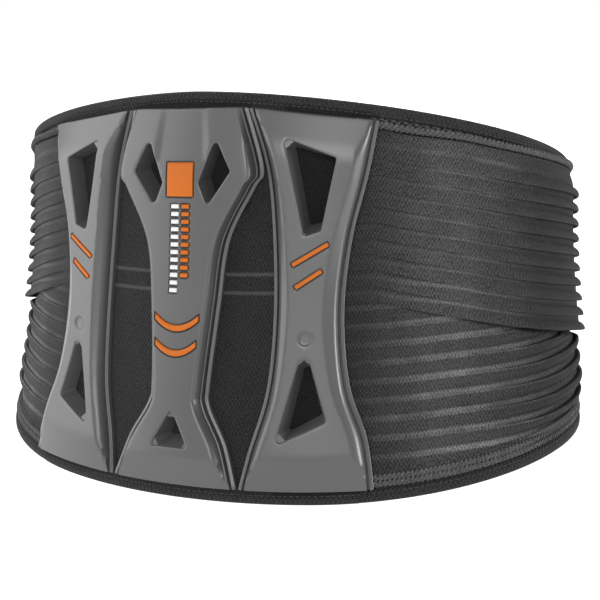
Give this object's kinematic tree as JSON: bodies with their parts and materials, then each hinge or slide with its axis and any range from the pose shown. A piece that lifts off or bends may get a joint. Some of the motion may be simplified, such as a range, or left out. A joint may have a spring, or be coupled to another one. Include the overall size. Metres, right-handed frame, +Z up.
{
  "type": "lumbar support belt",
  "caption": "Wide elastic lumbar support belt with moulded back stays, crossed ribbed straps and a hook-and-loop front closure.",
  "frame": {"origin": "middle of the footprint, on the surface the belt stands on", "axes": "+Z up, the back of the belt with its stays toward -Y, the front closure toward +Y, +X across the waist"},
  "size_m": [0.3864, 0.2946, 0.22],
  "materials": {
    "stay_plastic": "satin moulded grey",
    "orange_inlay": "smooth orange",
    "light_inlay": "smooth off-white",
    "spacer_knit": "dark spacer knit",
    "ribbed_elastic": "ribbed woven elastic",
    "lining_knit": "brushed knit",
    "foam": "open cell padding",
    "hook_tape": "hook tape",
    "binding": "folded woven binding"
  },
  "bodies": {
    "back": {"back_shell": "spacer_knit", "back_foam": "foam", "back_lining": "lining_knit", "back_top_binding": "binding", "back_bottom_binding": "binding", "back_elastic_upper": "ribbed_elastic", "back_elastic_lower": "ribbed_elastic", "center_stay": "stay_plastic", "left_stay": "stay_plastic", "right_stay": "stay_plastic", "chevron_upper": "orange_inlay", "chevron_lower": "orange_inlay", "center_badge": "orange_inlay", "center_strip_light": "light_inlay", "center_strip_orange": "orange_inlay", "right_bar_upper": "orange_inlay", "right_bar_lower": "orange_inlay", "left_bar_upper": "orange_inlay", "left_bar_lower": "orange_inlay"},
    "right_wing": {"right_wing_panel": "spacer_knit", "right_wing_top_binding": "binding", "right_wing_bottom_binding": "binding", "right_lower_strap": "ribbed_elastic", "right_upper_strap": "ribbed_elastic"},
    "right_flap": {"right_flap_panel": "spacer_knit", "right_flap_top_binding": "binding", "right_flap_bottom_binding": "binding", "right_flap_end_binding": "binding", "right_flap_hook": "hook_tape"},
    "right_pull": {"right_tab": "spacer_knit", "right_tab_hook": "hook_tape"},
    "left_wing": {"left_wing_panel": "spacer_knit", "left_wing_top_binding": "binding", "left_wing_bottom_binding": "binding", "left_lower_strap": "ribbed_elastic", "left_upper_strap": "ribbed_elastic"},
    "left_flap": {"left_flap_panel": "spacer_knit", "left_flap_top_binding": "binding", "left_flap_bottom_binding": "binding", "left_flap_end_binding": "binding", "left_flap_loop": "lining_knit"},
    "left_pull": {"left_tab": "spacer_knit", "left_tab_hook": "hook_tape"}
  },
  "joints": [
    {"name": "right_wing_open", "type": "hinge", "parent": "back", "child": "right_wing", "pos_m": [0.1143, -0.0897, 0.103], "axis": [0.0255, -0.2511, -0.9676], "range_deg": [0, 60]},
    {"name": "left_wing_fold", "type": "hinge", "parent": "back", "child": "left_wing", "pos_m": [-0.1143, -0.0897, 0.103], "axis": [-0.0255, -0.2511, -0.9676], "range_deg": [0, 20]},
    {"name": "right_flap_open", "type": "hinge", "parent": "right_wing", "child": "right_flap", "pos_m": [0.16974, 0.0686, 0.0755], "axis": [0.0878, -0.1868, -0.9785], "range_deg": [0, 75]},
    {"name": "left_flap_fold", "type": "hinge", "parent": "left_wing", "child": "left_flap", "pos_m": [-0.16974, 0.0686, 0.0755], "axis": [-0.0878, -0.1868, -0.9785], "range_deg": [0, 30]},
    {"name": "right_pull_peel", "type": "hinge", "parent": "right_flap", "child": "right_pull", "pos_m": [0.16245, 0.07429, 0.07], "axis": [0.095, -0.1875, -0.9777], "range_deg": [0, 70]},
    {"name": "left_pull_peel", "type": "hinge", "parent": "left_flap", "child": "left_pull", "pos_m": [-0.16245, 0.07429, 0.07], "axis": [0.095, 0.1875, 0.9777], "range_deg": [0, 70]}
  ]
}
